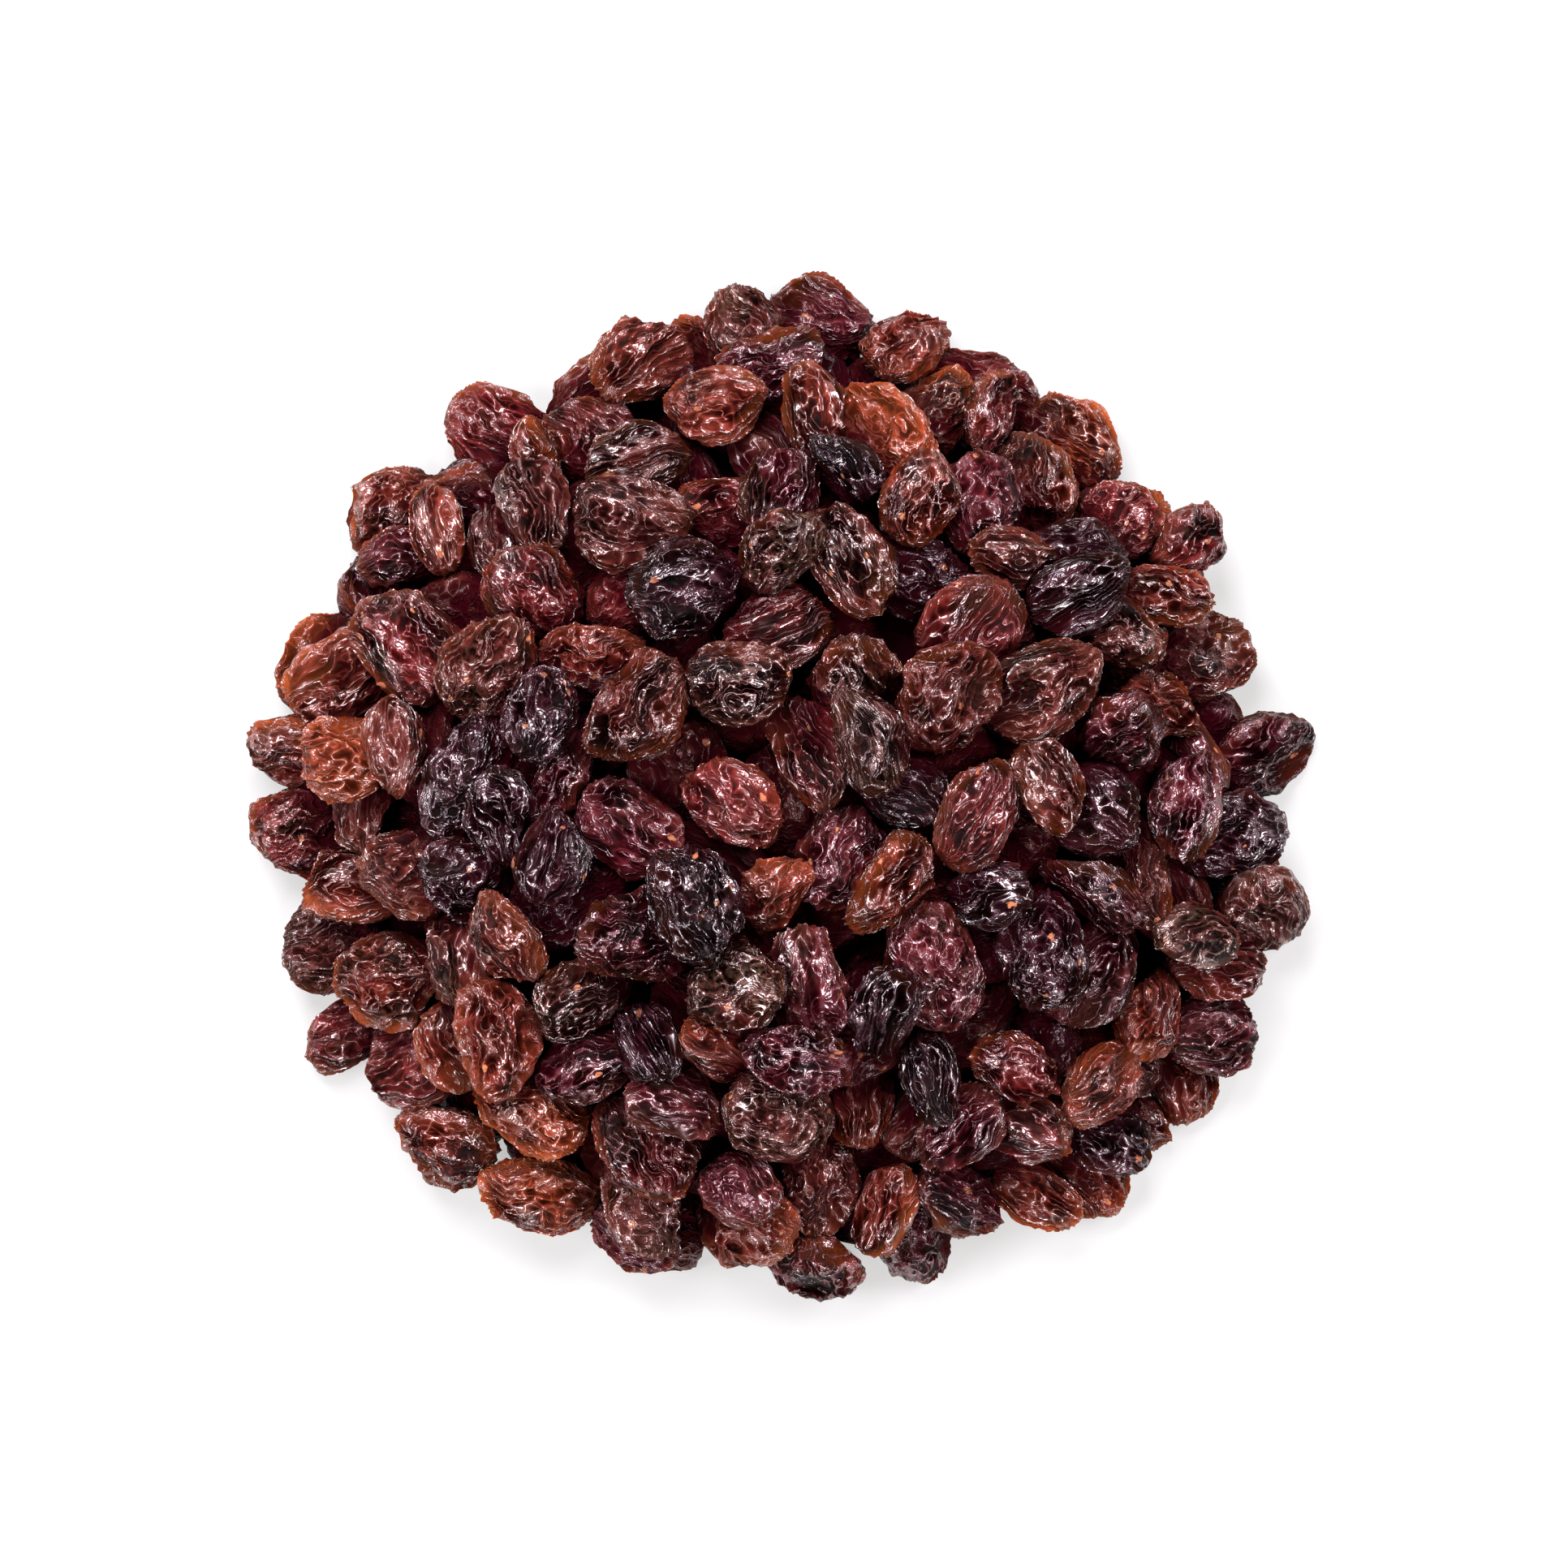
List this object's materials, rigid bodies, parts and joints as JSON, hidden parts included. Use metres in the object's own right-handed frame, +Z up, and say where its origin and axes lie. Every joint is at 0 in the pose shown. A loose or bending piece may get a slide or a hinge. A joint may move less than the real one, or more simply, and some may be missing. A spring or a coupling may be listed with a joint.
{
  "type": "heap of sultanas",
  "caption": "Low round mound of dark, wrinkled sun-dried sultanas that rest on each other as tipped out, flat underneath.",
  "frame": {"origin": "middle of the heap's plan, on the surface that it rests on", "axes": "+Z up from that surface, +X along the heap's slightly longer way across, +Y away from the viewer"},
  "size_m": [0.1197, 0.115, 0.033],
  "materials": {
    "sultana_skin": "wrinkled dark red-brown to near-black skin with a sticky gloss on the ridges, amber where it is thin, and a dusty bloom on some"
  },
  "bodies": {
    "root": {"sultana_heap": "sultana_skin"}
  },
  "joints": []
}
